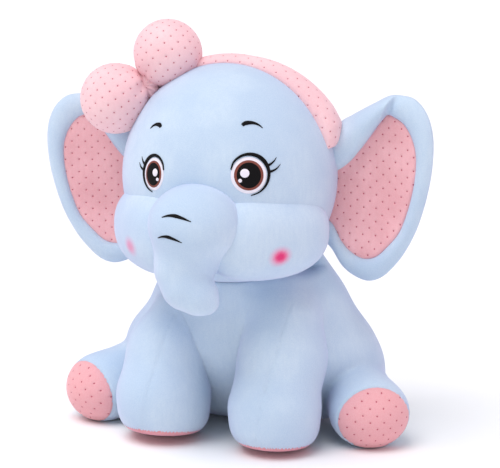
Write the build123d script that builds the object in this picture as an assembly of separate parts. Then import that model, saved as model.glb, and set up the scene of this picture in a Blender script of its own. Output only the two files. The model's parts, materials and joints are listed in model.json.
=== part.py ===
"""Sitting plush elephant with a padded headband and a two-puff bow.

Millimetres, +Z up, origin at the centre of the footprint's bounding box on the
floor. The elephant looks along -Y and its own left side is +X.

Every stuffed piece is a sewn fabric cover (a closed or open shell) with its own
filling inside. Covers that meet at a seam are kept a small gap apart, so that
the head, trunk, ears, legs and tail can turn on their seams.
"""
import os
from math import asin, atan2, cos, hypot, radians, sin, sqrt
from build123d import *

# ---------------------------------------------------------------- driving sizes
FABRIC = 2.0          # thickness of the plush cover fabric
SLACK = 0.5           # room between a cover and the filling inside it
SEAM_GAP = 1.0        # room between two covers that are sewn edge to edge
THREAD = 0.5          # thickness of one layer of satin-stitch embroidery
THREAD_GAP = 0.3      # room below each layer of embroidery

HEAD_Y = -24.5        # the head's vertical axis, measured from the footprint centre
HEAD_Z = 267.0        # height of the head's centre
HEAD_R = 108.0        # half width of the head
HEAD_DEEP = 98.0      # half depth of the head
HEAD_H = 112.0        # half height of the head

CHEEK = (55.0, -48.0, 218.0)     # centre of the left cheek, from the head's axis
CHEEK_LONG = 68.0     # half length, wrapped round the side of the face
CHEEK_DEEP = 40.0
CHEEK_H = 48.0
CHEEK_YAW = 49.0      # how far the cheek's length is turned from crosswise
HEAD_TURN = 15.0      # how far the head turns each way

TRUNK_ROOT = (0.0, -100.0, 233.0)
TRUNK_MID = (-3.0, -110.0, 200.0)
TRUNK_TIP = (2.0, -114.0, 177.0)
TRUNK_ROOT_R = 43.0
TRUNK_MID_R = 36.0
TRUNK_TIP_R = 27.0
TRUNK_HINGE = (0.0, -102.0, 262.0)
TRUNK_SWING = (0.0, 8.0, 16.0)   # the trunk lifts from its top seam

EAR_ROOT_Y = 28.0     # the ear's plane, behind the head's axis at the root
EAR_TILT = 7.2        # how far the ear's outer edge comes forward, degrees
EAR_BOTTOM = 164.0
EAR_TOP_LEFT = 352.0
EAR_TOP_RIGHT = 341.0  # the right ear droops a little
EAR_THICK = 13.0
EAR_LINING = 1.6
EAR_FLAP = 7.0        # thickness of the folded-over top edge
EAR_AXIS_TOP = (99.0, 28.0, 300.0)
EAR_AXIS_LOW = (80.0, 28.0, 195.0)
EAR_ROOT_GAP = 3.5    # room along the root, so that the ear can fold back and forward

BAND_Y = 13.0         # the headband's middle, behind the head's axis
BAND_WIDTH = 38.0
BAND_RISE = 10.0      # how far the padded band stands off the head
BAND_FROM = 34.0      # its ends, in degrees from the head's crown
BAND_TO = 58.0

PUFF_UP = (-65.0, -2.0, 387.0)
PUFF_LOW = (-114.5, -22.0, 340.5)
PUFF_UP_R = 33.0
PUFF_LOW_R = 34.0
CINCH = (-86.0, -14.0, 360.0)
CINCH_R = 8.0

EYE_X = 47.0          # middle of each eye, to the side of the face's centre line
EYE_Z = 281.0
BROW_X = 47.5
BROW_Z = 327.5
WHITE_HALF = (17.5, 18.5)
IRIS_HALF = (14.3, 15.2)
PUPIL_HALF = (11.6, 12.8)
GLINT_R = 4.5
GLINT_SMALL_R = 1.8

FOOT = (60.0, -40.0, 44.0)       # middle of the front left foot
FOOT_R = 44.0
SHOULDER = (64.0, 2.0, 98.0)
SHOULDER_R = 43.0
SOLE_THICK = 2.4
FOOT_ROUND = 24.0
LEG_SWING = (-6.0, 0.0, 8.0)

HIND_FOOT = (145.0, 9.0, 35.0)
HIND_FOOT_R = 35.0
HIP = (104.0, 68.0, 46.0)
HIP_R = 38.0
PAD_R = 30.0
PAD_YAW = 30.0        # the hind soles look this far outward
HIND_SWING = (-8.0, 0.0, 8.0)

# height, half width, half depth and how far the middle lies behind the head's axis
TORSO_RINGS = [
    (0.0, 80.0, 44.0, 96.0),
    (10.0, 108.0, 62.0, 90.0),
    (35.0, 134.0, 82.0, 83.0),
    (65.0, 141.0, 94.0, 73.0),
    (95.0, 134.0, 98.0, 62.0),
    (125.0, 114.0, 89.0, 52.0),
    (150.0, 95.0, 77.0, 44.0),
    (175.0, 78.0, 64.0, 36.0),
    (195.0, 67.0, 56.0, 28.0),
]

TAIL_ROOT = (0.0, 175.5, 80.0)
TAIL_TIP = (0.0, 187.0, 38.0)
TAIL_ROOT_R = 10.0
TAIL_TIP_R = 8.0


# ---------------------------------------------------------------- shared helpers
def at(point):
    """A point given from the head's axis, in the part's own frame."""
    return Vector(point[0], point[1] + HEAD_Y, point[2])


def mirrored(point, side):
    """The same point on the left (+1) or right (-1) side."""
    return (point[0] * side, point[1], point[2])


def ball(centre, radius):
    return Pos(*at(centre)) * Sphere(radius)


def spheroid(centre, radius, half_height):
    """A solid of revolution about the vertical, elliptical in side view."""
    with BuildPart() as made:
        with BuildSketch(Plane.XZ) as half:
            Ellipse(radius, half_height)
            Rectangle(2 * radius, 4 * half_height, align=(Align.MAX, Align.CENTER), mode=Mode.SUBTRACT)
        revolve(axis=Axis.Z)
    return Pos(*at(centre)) * made.part


def tapered(start, end, start_r, end_r):
    """Two balls of different size and the cone that wraps them."""
    a = at(start)
    b = at(end)
    length = (b - a).length
    lean = asin((start_r - end_r) / length)
    low = (start_r * cos(lean), start_r * sin(lean))
    high = (end_r * cos(lean), length + end_r * sin(lean))
    half_low = (lean - radians(90)) / 2
    half_high = (lean + radians(90)) / 2
    low_mid = (start_r * cos(half_low), start_r * sin(half_low))
    high_mid = (end_r * cos(half_high), length + end_r * sin(half_high))
    with BuildPart() as made:
        with BuildSketch(Plane.XZ):
            with BuildLine():
                ThreePointArc((0, -start_r), low_mid, low)
                Line(low, high)
                ThreePointArc(high, high_mid, (0, length + end_r))
                Line((0, length + end_r), (0, -start_r))
            make_face()
        revolve(axis=Axis.Z)
    return Plane(origin=a, z_dir=b - a) * made.part


def turned(shape, start, end, angle):
    """The shape turned about the line from start to end, in degrees."""
    line = Axis(at(start), at(end) - at(start))
    return shape.rotate(line, angle)


def ellipsoid(centre, half_sizes, yaw=0.0):
    """An egg shape with its own half width, depth and height."""
    egg = scale(Sphere(1), by=half_sizes)
    return Pos(*at(centre)) * Rot(0, 0, yaw) * egg


def head_body(grow):
    return ellipsoid((0, 0, HEAD_Z), (HEAD_R + grow, HEAD_DEEP + grow, HEAD_H + grow))


def head_room(grow):
    """The round space that the head turns in."""
    return spheroid((0, 0, HEAD_Z), HEAD_R + grow, HEAD_H + grow)


def box_between(low, high):
    size = Vector(*high) - Vector(*low)
    middle = (Vector(*high) + Vector(*low)) * 0.5
    return Pos(*at((middle.X, middle.Y, middle.Z))) * Box(size.X, size.Y, size.Z)


def one_solid(shape):
    """The largest solid of a shape, with any sliver left out."""
    found = shape.solids()
    return max(found, key=lambda s: s.volume)


def save(shape, name):
    solid = one_solid(shape)
    solid.label = name
    export_step(solid, "parts/" + name + ".step")
    box = solid.bounding_box()
    low = [round(v, 1) for v in (box.min.X, box.min.Y, box.min.Z)]
    high = [round(v, 1) for v in (box.max.X, box.max.Y, box.max.Z)]
    print(name, low, high, "volume", round(solid.volume))


def save_stuffed(shape_of, name, slack=SLACK):
    """A cover of fabric thickness and the filling that it holds."""
    outer = shape_of(0.0)
    cavity = shape_of(FABRIC)
    filling = shape_of(FABRIC + slack)
    save(outer - cavity, name + "_skin")
    save(filling, name + "_filling")


# ---------------------------------------------------------------- trunk and cheeks
def trunk_body(inset):
    upper = tapered(TRUNK_ROOT, TRUNK_MID, TRUNK_ROOT_R - inset, TRUNK_MID_R - inset)
    lower = tapered(TRUNK_MID, TRUNK_TIP, TRUNK_MID_R - inset, TRUNK_TIP_R - inset)
    return upper + lower


def trunk_lift(shape, angle):
    """Positive angles lift the trunk forward from its top seam."""
    end = (TRUNK_HINGE[0] - 10, TRUNK_HINGE[1], TRUNK_HINGE[2])
    return turned(shape, TRUNK_HINGE, end, angle)


def trunk_shape(inset):
    """The trunk, hollowed at the back where it is sewn to the face."""
    body = trunk_body(inset)
    for angle in TRUNK_SWING:
        body = body - trunk_lift(head_body(SEAM_GAP + inset), -angle)
    return body


def cheek_body(side, inset):
    """A long pillow lying round the side of the face."""
    sizes = (CHEEK_LONG - inset, CHEEK_DEEP - inset, CHEEK_H - inset)
    return ellipsoid(mirrored(CHEEK, side), sizes, CHEEK_YAW * side)


def cheek_shape(side):
    """One cheek, trimmed to the head behind it and the trunk beside it."""
    def shape(inset):
        body = cheek_body(side, inset) - head_body(SEAM_GAP + inset)
        for angle in TRUNK_SWING:
            body = body - trunk_lift(trunk_body(-2 * SEAM_GAP - inset), angle)
        return body
    return shape


# ---------------------------------------------------------------- ears
# distance out from the root, and height as a share of the ear's height
EAR_OUTLINE = [
    (-34, 0.30), (-12, 0.15), (5, 0.04), (32, 0.0), (57, 0.07), (83, 0.28),
    (97, 0.52), (101, 0.74), (95, 0.90), (80, 0.98), (62, 1.0), (31, 0.92), (4, 0.81), (-30, 0.70),
]
LINING_OUTLINE = [
    (-34, 0.42), (-6, 0.26), (16, 0.14), (38, 0.13), (56, 0.21), (73, 0.36),
    (82, 0.53), (84, 0.66), (78, 0.80), (62, 0.88), (34, 0.80), (6, 0.69), (-30, 0.60),
]
FLAP_OUTLINE = [(-2, 0.63), (14, 0.67), (36, 0.81), (58, 0.955), (60, 0.985), (31, 0.905), (5, 0.80), (-2, 0.74)]


def ear_plane(side, depth):
    """A plane through the ear, at a depth behind its middle."""
    out = Vector(side * cos(radians(EAR_TILT)), -sin(radians(EAR_TILT)), 0)
    face = out.cross(Vector(0, 0, 1)) * side
    root = at((side * 104.0, EAR_ROOT_Y, EAR_BOTTOM))
    return Plane(origin=root - face * depth, x_dir=out, z_dir=out.cross(Vector(0, 0, 1))), face


def spread(point, middle, amount):
    """A point moved straight away from the middle."""
    across = point[0] - middle[0]
    up = point[1] - middle[1]
    share = amount / hypot(across, up)
    return (point[0] + across * share, point[1] + up * share)


def ear_slab(side, outline, front, back, grow, closed_line):
    """A slab of the ear between two depths in front of its middle plane."""
    top = EAR_TOP_LEFT if side > 0 else EAR_TOP_RIGHT
    tall = top - EAR_BOTTOM
    points = [spread((u, v * tall), (45.0, tall / 2), grow) for u, v in outline]
    plane, face = ear_plane(side, 0.0)
    with BuildSketch(Plane.XY) as drawn:
        with BuildLine():
            if closed_line:
                Spline(*points)
                Line(points[-1], points[0])
            else:
                Polyline(*points, close=True)
        make_face()
    thick = front - back
    blank = extrude(drawn.sketch, amount=thick)
    # the plane's normal looks back on one side and forward on the other
    start = back if side > 0 else -front
    return plane * (Pos(0, 0, start) * blank)


def ear_free_of_head(shape, extra):
    """The ear's root edge follows the head, with room for the ear to fold."""
    return shape - ball((0, 0, HEAD_Z), HEAD_R + EAR_ROOT_GAP + extra)


def save_ear(side, name):
    half = EAR_THICK / 2
    outer = ear_slab(side, EAR_OUTLINE, half, -half, 0, True)
    pocket = ear_slab(side, LINING_OUTLINE, half + 1, FABRIC - half, 0, True)
    flap = ear_slab(side, FLAP_OUTLINE, half + EAR_FLAP, half - 0.2, 0, False)
    flap = flap - ear_slab(side, LINING_OUTLINE, half + SLACK, half - 1, 2.0, True)
    back = ear_free_of_head(outer - pocket + flap, 0)
    save(back, name + "_back")
    face = half - SLACK
    lining = ear_slab(side, LINING_OUTLINE, face, face - EAR_LINING, -1.0, True)
    save(ear_free_of_head(lining, 0), name + "_lining")
    low = FABRIC - half + SLACK
    padding = ear_slab(side, LINING_OUTLINE, face - EAR_LINING - SLACK, low, -1.0, True)
    save(ear_free_of_head(padding, FABRIC), name + "_padding")


# ---------------------------------------------------------------- headband and bow
def band_shape(inset):
    """A padded strip lying over the crown, from the bow to the left ear."""
    rise = BAND_RISE - inset
    lift = head_body(rise) - head_body(SEAM_GAP + inset)
    half = BAND_WIDTH / 2 - inset
    slab = box_between((-200, BAND_Y - half, HEAD_Z), (200, BAND_Y + half, HEAD_Z + 200))
    wedge = lift & slab
    reach = 300.0
    from_a = radians(90 + BAND_FROM)
    to_a = radians(90 - BAND_TO)
    squeeze = inset
    with BuildSketch(Plane.XZ) as fan:
        with BuildLine():
            Polyline(
                (0, squeeze * 1.2),
                (reach * cos(from_a), reach * sin(from_a)),
                (0, reach),
                (reach, reach),
                (reach * cos(to_a), reach * sin(to_a)),
                close=True,
            )
        make_face()
    fan_solid = extrude(fan.sketch, amount=400, both=True)
    return wedge & (Pos(*at((0, 0, HEAD_Z + 1))) * fan_solid)


def puff_shape(centre, radius):
    """One puff of the bow, sitting on the head beside the headband."""
    def shape(inset):
        body = ball(centre, radius - inset) - head_body(SEAM_GAP + inset)
        return body - band_room(SEAM_GAP + inset)
    return shape


def band_room(grow):
    """The room the headband needs, with a margin round it."""
    lift = head_body(BAND_RISE + grow)
    half = BAND_WIDTH / 2 + grow
    slab = box_between((-200, BAND_Y - half, HEAD_Z), (200, BAND_Y + half, HEAD_Z + 200))
    return lift & slab


def cinch_shape():
    """The gathered knot where the two puffs are drawn together."""
    knot = ball(CINCH, CINCH_R) - head_body(SEAM_GAP) - band_room(SEAM_GAP)
    return knot - ball(PUFF_UP, PUFF_UP_R + SEAM_GAP) - ball(PUFF_LOW, PUFF_LOW_R + SEAM_GAP)


# ---------------------------------------------------------------- embroidery
def face_plane(x, z):
    """The plane touching the front of the head at a width and height."""
    rise = z - HEAD_Z
    forward = HEAD_DEEP * sqrt(1 - (x / HEAD_R) ** 2 - (rise / HEAD_H) ** 2)
    out = Vector(x / HEAD_R ** 2, -forward / HEAD_DEEP ** 2, rise / HEAD_H ** 2)
    return Plane(origin=at((x, -forward, z)), x_dir=Vector(0, 0, 1).cross(out), z_dir=out)


def patch(x, z, sketch, layer):
    """A thin layer of thread in a flat outline, wrapped over the head."""
    low = THREAD_GAP + layer * (THREAD + THREAD_GAP)
    shell = head_body(low + THREAD) - head_body(low)
    prism = face_plane(x, z) * (Pos(0, 0, -40) * extrude(sketch, amount=60))
    return shell & prism


def flat_ellipse(half_wide, half_tall, dx=0.0, dy=0.0):
    with BuildSketch() as drawn:
        with Locations((dx, dy)):
            Ellipse(half_wide, half_tall)
    return drawn.sketch


def flat_stroke(points, width):
    """A thread line of even width through a few points."""
    with BuildSketch() as drawn:
        with BuildLine() as path:
            Spline(*points)
        trace(path.wires()[0] if path.wires() else path.line, line_width=width)
    return drawn.sketch


# seen from the front, from the eye's centre, with the nose side at -X
LID_LINE = [(-17.0, 7.5), (-13.5, 15.5), (0.0, 21.5), (13.5, 15.5), (19.3, 5.0), (19.0, -4.0), (14.0, -14.0), (3.0, -20.0)]
LASH_UPPER = [(19.8, 10.5), (23.6, 12.6), (27.2, 17.2)]
LASH_LOWER = [(21.4, 3.6), (26.2, 5.4), (31.0, 10.2)]
BROW_LINE = [(-8.5, -0.5), (-2.0, 2.2), (4.5, 1.4), (11.0, -3.2)]


def sided(points, side):
    return [(x * side, y) for x, y in points]


def save_eye(side, name):
    white = flat_ellipse(*WHITE_HALF)
    iris = flat_ellipse(*IRIS_HALF)
    pupil = flat_ellipse(*PUPIL_HALF)
    glint = flat_ellipse(GLINT_R, GLINT_R, dx=-4.0 * side, dy=2.2)
    small = flat_ellipse(GLINT_SMALL_R, GLINT_SMALL_R, dx=-8.6 * side, dy=-5.2)
    save(patch(EYE_X * side, EYE_Z, white, 0), name + "_white")
    save(patch(EYE_X * side, EYE_Z, iris, 1), name + "_iris")
    save(patch(EYE_X * side, EYE_Z, pupil, 2), name + "_pupil")
    save(patch(EYE_X * side, EYE_Z, glint, 3), name + "_glint")
    save(patch(EYE_X * side, EYE_Z, small, 3), name + "_glint_small")
    lid = flat_stroke(sided(LID_LINE, side), 2.4)
    # the lid line runs just outside the white
    lid_layer = patch(EYE_X * side, EYE_Z, lid, 1)
    save(lid_layer, name + "_lid")
    upper = flat_stroke(sided(LASH_UPPER, side), 1.6)
    save(patch(EYE_X * side, EYE_Z, upper, 0), name + "_lash_upper")
    lower = flat_stroke(sided(LASH_LOWER, side), 1.6)
    save(patch(EYE_X * side, EYE_Z, lower, 0), name + "_lash_lower")
    brow = flat_stroke(sided(BROW_LINE, side), 2.6)
    save(patch(BROW_X * side, BROW_Z, brow, 0), "brow_" + name.split("_")[1])


def save_trunk_line(height, name):
    """A curved stitch line across the front of the trunk."""
    low = THREAD_GAP
    outer = trunk_body(-low - THREAD)
    shell = outer - trunk_body(-low)
    points = [(-19.0, height - 4.5), (-8.0, height), (3.0, height), (14.0, height - 4.5)]
    with BuildSketch(Plane.XZ) as drawn:
        with BuildLine() as path:
            Spline(*points)
        trace(path.line, line_width=2.4)
    prism = Pos(0, HEAD_Y + TRUNK_ROOT[1], 0) * extrude(drawn.sketch, amount=100)
    save(shell & prism, name)


# ---------------------------------------------------------------- torso and legs
def ring_lean(index):
    """How far the torso's side leans over or under at one of its rings."""
    low = TORSO_RINGS[max(index - 1, 0)]
    high = TORSO_RINGS[min(index + 1, len(TORSO_RINGS) - 1)]
    if index == 0:
        return radians(-90)
    rise = high[0] - low[0]
    run = high[1] - low[1]
    return -atan2(run, rise)


def torso_body(inset):
    """Smooth skin through the torso's rings, drawn in square to the side."""
    rings = []
    for index, (height, wide, deep, middle) in enumerate(TORSO_RINGS):
        lean = ring_lean(index)
        level = height - inset * sin(lean)
        draw_in = inset * cos(lean)
        with BuildSketch(Plane.XY.offset(level)) as ring:
            with Locations((0, HEAD_Y + middle)):
                Ellipse(wide - draw_in, deep - draw_in)
        rings.append(ring.sketch.faces()[0])
    return loft(rings)


def neck_clearance(grow):
    """What the cheeks need above the front of the shoulders as the head turns."""
    swept = hypot(CHEEK[0], CHEEK[1])
    wide = CHEEK_DEEP + 2.0 + grow
    tall = CHEEK_H + 2.0 + grow
    with BuildPart() as made:
        with BuildSketch(Plane.XZ):
            with Locations((swept, CHEEK[2])):
                Ellipse(wide, tall)
            with Locations((0, CHEEK[2])):
                Rectangle(swept * 2, tall * 2)
            Rectangle(300, 900, align=(Align.MAX, Align.CENTER), mode=Mode.SUBTRACT)
        revolve(axis=Axis.Z)
    front = box_between((-200, -200, 0), (200, 40.0 + grow, 400))
    return (Pos(*at((0, 0, 0))) * made.part) & front


def front_leg_body(side, grow):
    foot = mirrored(FOOT, side)
    return tapered(foot, mirrored(SHOULDER, side), FOOT_R + grow, SHOULDER_R + grow)


def hind_leg_body(side, grow):
    hip = mirrored(HIP, side)
    return tapered(hip, mirrored(HIND_FOOT, side), HIP_R + grow, HIND_FOOT_R + grow)


def leg_room(joint, foot, joint_r, foot_r, swing, grow):
    """Everywhere a leg can reach from its joint, with a margin round it."""
    reach = (at(foot) - at(joint)).length
    return tapered(joint, foot, joint_r + grow, foot_r + grow + reach * sin(radians(max(swing))))


def torso_shape(inset):
    body = torso_body(inset)
    body = body - neck_clearance(inset)
    body = body - head_room(SEAM_GAP + inset)
    margin = SEAM_GAP + inset
    for side in (1, -1):
        shoulder = mirrored(SHOULDER, side)
        foot = mirrored(FOOT, side)
        body = body - leg_room(shoulder, foot, SHOULDER_R, FOOT_R, LEG_SWING, margin)
        hip = mirrored(HIP, side)
        hind = mirrored(HIND_FOOT, side)
        body = body - leg_room(hip, hind, HIP_R, HIND_FOOT_R, HIND_SWING, margin)
    return body


def foot_block(side, grow):
    """The round foot with its flat underside."""
    foot = mirrored(FOOT, side)
    radius = FOOT_R + grow
    with BuildPart() as made:
        Cylinder(radius, FOOT[2] + grow, align=(Align.CENTER, Align.CENTER, Align.MIN))
        fillet(made.edges().sort_by(Axis.Z)[0], FOOT_ROUND + grow)
    return Pos(*at((foot[0], foot[1], -grow))) * made.part


def front_leg_shape(side):
    def shape(inset):
        floor = SOLE_THICK + SLACK
        leg = front_leg_body(side, -inset) + foot_block(side, -inset)
        keep = box_between((-200, -200, floor), (200, 200, 250))
        return leg & keep
    return shape


def save_front_leg(side, name):
    shape = front_leg_shape(side)
    outer = shape(0.0)
    cavity = front_leg_body(side, -FABRIC) + foot_block(side, -FABRIC)
    below = box_between((-200, -200, -10), (200, 200, SOLE_THICK + SLACK + 4.0))
    opening = Pos(*at((FOOT[0] * side, FOOT[1], 0))) * Cylinder(FOOT_R - FOOT_ROUND, 12)
    save(outer - cavity - (opening & below), name + "_skin")
    filling = front_leg_body(side, -FABRIC - SLACK) + foot_block(side, -FABRIC - SLACK)
    keep = box_between((-200, -200, SOLE_THICK + 2 * SLACK), (200, 200, 250))
    save(filling & keep, name + "_filling")
    whole = foot_block(side, 0)
    slab = box_between((-200, -200, 0), (200, 200, SOLE_THICK))
    save(whole & slab, name.replace("front_leg", "front_sole"))


def pad_plane(side):
    """The plane of the hind sole's seam, looking outward from the foot."""
    out = Vector(side * sin(radians(PAD_YAW)), -cos(radians(PAD_YAW)), 0)
    return Plane(origin=at(mirrored(HIND_FOOT, side)), z_dir=out)


def save_hind_leg(side, name):
    seam = sqrt(HIND_FOOT_R ** 2 - PAD_R ** 2)
    plane = pad_plane(side)
    beyond = plane * (Pos(0, 0, seam) * Box(200, 200, 200, align=(Align.CENTER, Align.CENTER, Align.MIN)))
    beyond_gap = plane * (
        Pos(0, 0, seam - SLACK) * Box(200, 200, 200, align=(Align.CENTER, Align.CENTER, Align.MIN))
    )
    ground = box_between((-250, -250, 0), (250, 250, 300))
    outer = hind_leg_body(side, 0) & ground
    cavity = hind_leg_body(side, -FABRIC)
    save(outer - cavity - beyond_gap, name + "_skin")
    filling = hind_leg_body(side, -FABRIC - SLACK) & ground
    save(filling, name + "_filling")
    foot = mirrored(HIND_FOOT, side)
    dome = ball(foot, HIND_FOOT_R) - ball(foot, HIND_FOOT_R - FABRIC)
    save(dome & beyond, name.replace("hind_leg", "hind_pad"))


def tail_shape(inset):
    body = tapered(TAIL_ROOT, TAIL_TIP, TAIL_ROOT_R - inset, TAIL_TIP_R - inset)
    return body


# ---------------------------------------------------------------- build
os.makedirs("parts", exist_ok=True)

save_stuffed(lambda inset: head_body(-inset), "head")
save_stuffed(trunk_shape, "trunk")
save_stuffed(torso_shape, "torso", slack=1.5)
save_stuffed(band_shape, "headband")
save_stuffed(puff_shape(PUFF_UP, PUFF_UP_R), "bow_upper")
save_stuffed(puff_shape(PUFF_LOW, PUFF_LOW_R), "bow_lower")
save(cinch_shape(), "bow_cinch")
save_stuffed(tail_shape, "tail")
save_trunk_line(250.0, "trunk_line_upper")
save_trunk_line(230.0, "trunk_line_lower")
for turn, label in ((1, "left"), (-1, "right")):
    save_stuffed(cheek_shape(turn), "cheek_" + label)
    save_ear(turn, "ear_" + label)
    save_eye(turn, "eye_" + label)
    save_front_leg(turn, "front_leg_" + label)
    save_hind_leg(turn, "hind_leg_" + label)
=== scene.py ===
"""Looks of the sitting plush elephant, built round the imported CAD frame.

Metres, +Z up, the same frame as the CAD. Each stuffed piece is its own closed
mesh: rounded forms are polygonised from distance functions, and the ears, the
headband, the bow and the embroidery are lofted directly.
"""
import json
from math import cos, pi, radians, sin

import bpy
import numpy as np
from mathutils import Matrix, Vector


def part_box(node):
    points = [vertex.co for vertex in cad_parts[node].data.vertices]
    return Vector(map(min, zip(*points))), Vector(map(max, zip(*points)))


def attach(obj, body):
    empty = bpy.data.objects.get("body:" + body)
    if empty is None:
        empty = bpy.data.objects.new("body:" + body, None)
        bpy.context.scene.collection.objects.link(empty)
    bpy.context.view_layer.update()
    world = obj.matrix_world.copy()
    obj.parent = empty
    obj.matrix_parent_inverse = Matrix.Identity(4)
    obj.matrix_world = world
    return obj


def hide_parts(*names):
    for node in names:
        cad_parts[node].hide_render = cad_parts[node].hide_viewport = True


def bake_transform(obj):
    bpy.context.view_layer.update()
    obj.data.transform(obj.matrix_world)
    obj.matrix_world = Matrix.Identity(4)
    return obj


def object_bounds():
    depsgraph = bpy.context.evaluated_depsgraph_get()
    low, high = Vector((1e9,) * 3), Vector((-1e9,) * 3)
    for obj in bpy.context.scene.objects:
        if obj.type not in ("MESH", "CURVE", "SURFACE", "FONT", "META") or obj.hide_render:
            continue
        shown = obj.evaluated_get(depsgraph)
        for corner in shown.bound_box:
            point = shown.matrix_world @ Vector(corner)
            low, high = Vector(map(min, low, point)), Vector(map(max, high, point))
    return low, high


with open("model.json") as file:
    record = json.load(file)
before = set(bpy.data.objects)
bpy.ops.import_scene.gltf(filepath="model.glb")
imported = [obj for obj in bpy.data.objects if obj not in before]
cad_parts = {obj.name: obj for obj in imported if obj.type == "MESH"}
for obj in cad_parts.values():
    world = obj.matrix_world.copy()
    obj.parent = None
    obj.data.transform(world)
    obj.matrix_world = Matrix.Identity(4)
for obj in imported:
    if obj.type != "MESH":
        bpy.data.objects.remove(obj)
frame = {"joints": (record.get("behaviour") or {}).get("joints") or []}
CAD_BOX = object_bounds()
MM = 0.001
JOINT_AT = {j["name"]: np.array(j["pos_m"]) for j in frame["joints"]}
SIDES = ((1, "left"), (-1, "right"))


# ------ places from the CAD
def box(node):
    low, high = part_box(node)
    return np.array(low), np.array(high)


def middle(node):
    low, high = box(node)
    return (low + high) / 2


def half_size(node):
    low, high = box(node)
    return (high - low) / 2


HEAD = middle("head_skin")
HEAD_HALF = half_size("head_skin")
FLAT = np.array([1, 1, 0])       # drops a point to the floor
UP = np.array([0, 0, 1])


def at(x, y, z):
    """Millimetres across and behind the head's axis, and above the floor."""
    return np.array([HEAD[0] + x * MM, HEAD[1] + y * MM, z * MM])


def sided(point, side):
    return point * np.array([side, 1.0, 1.0])


def unit(vector):
    return vector / np.maximum(np.linalg.norm(vector, axis=-1, keepdims=True), 1e-12)


# ------ distance functions
def egg(points, centre, half, turn=0.0, power=(2.0, 2.0, 2.0)):
    """Signed distance to an egg; powers above 2 square it off into a pillow."""
    q = points - centre
    if turn:
        c, s = cos(turn), sin(turn)
        q = np.stack([q[:, 0] * c + q[:, 1] * s, q[:, 1] * c - q[:, 0] * s, q[:, 2]], 1)
    a = np.abs(q) / half + 1e-6
    power = np.array(power)
    total = (a ** power).sum(1)
    slope = np.linalg.norm(power * a ** (power - 1) / half, axis=1)
    root = np.sqrt(total)
    return (root - 1) * 2 * root / slope


def limb(points, a, b, ra, rb):
    """Signed distance to two balls and the cone that wraps them."""
    ab = b - a
    length2 = ab @ ab
    grow = ra - rb
    a2 = length2 - grow * grow
    pa = points - a
    y = pa @ ab
    z = y - length2
    x2 = ((pa * length2 - y[:, None] * ab) ** 2).sum(1)
    y2 = y * y * length2
    z2 = z * z * length2
    k = np.sign(grow) * grow * grow * x2
    side = (np.sqrt(x2 * a2 / length2) + y * grow) / length2 - ra
    far = np.sqrt(x2 + z2) / length2 - rb
    near = np.sqrt(x2 + y2) / length2 - ra
    out = np.where(np.sign(y) * a2 * y2 < k, near, side)
    return np.where(np.sign(z) * a2 * z2 > k, far, out)


def join(a, b, soft):
    """The union of two shapes with a rounded crease."""
    h = np.maximum(soft - np.abs(a - b), 0) / soft
    return np.minimum(a, b) - h * h * soft / 4


def trim(a, b, soft):
    """The part of both shapes, with a rounded edge."""
    return -join(-a, -b, soft)


def smooth_curve(x, xs, ys):
    """A smooth curve through a table of points."""
    slopes = np.gradient(ys, xs)
    i = np.clip(np.searchsorted(xs, x) - 1, 0, len(xs) - 2)
    span = xs[i + 1] - xs[i]
    t = np.clip((x - xs[i]) / span, 0, 1)
    a = (1 + 2 * t) * (1 - t) ** 2 * ys[i] + t * (1 - t) ** 2 * span * slopes[i]
    return a + t * t * (3 - 2 * t) * ys[i + 1] + t * t * (t - 1) * span * slopes[i + 1]


def gradient(shape, points, step=0.0004):
    out = np.zeros_like(points)
    for axis in range(3):
        move = np.zeros(3)
        move[axis] = step
        out[:, axis] = (shape(points + move) - shape(points - move)) / (2 * step)
    return out


def settle(shape, points, rounds=2):
    """Points moved onto the surface."""
    for _ in range(rounds):
        slope = gradient(shape, points)
        size = np.maximum((slope ** 2).sum(1), 0.05)
        points = points - slope * (shape(points) / size)[:, None]
    return points


# ------ polygonising
CORNERS = [(i, j, k) for i in (0, 1) for j in (0, 1) for k in (0, 1)]
CELL_EDGES = [
    (a, b) for a in CORNERS for b in CORNERS
    if a < b and sum(abs(x - y) for x, y in zip(a, b)) == 1
]


def edges_of(faces):
    """Each edge of the faces once, as a rising pair of vertex numbers."""
    count = faces.shape[1]
    pairs = np.concatenate([faces[:, [i, (i + 1) % count]] for i in range(count)])
    return np.unique(np.sort(pairs, axis=1), axis=0)


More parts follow.
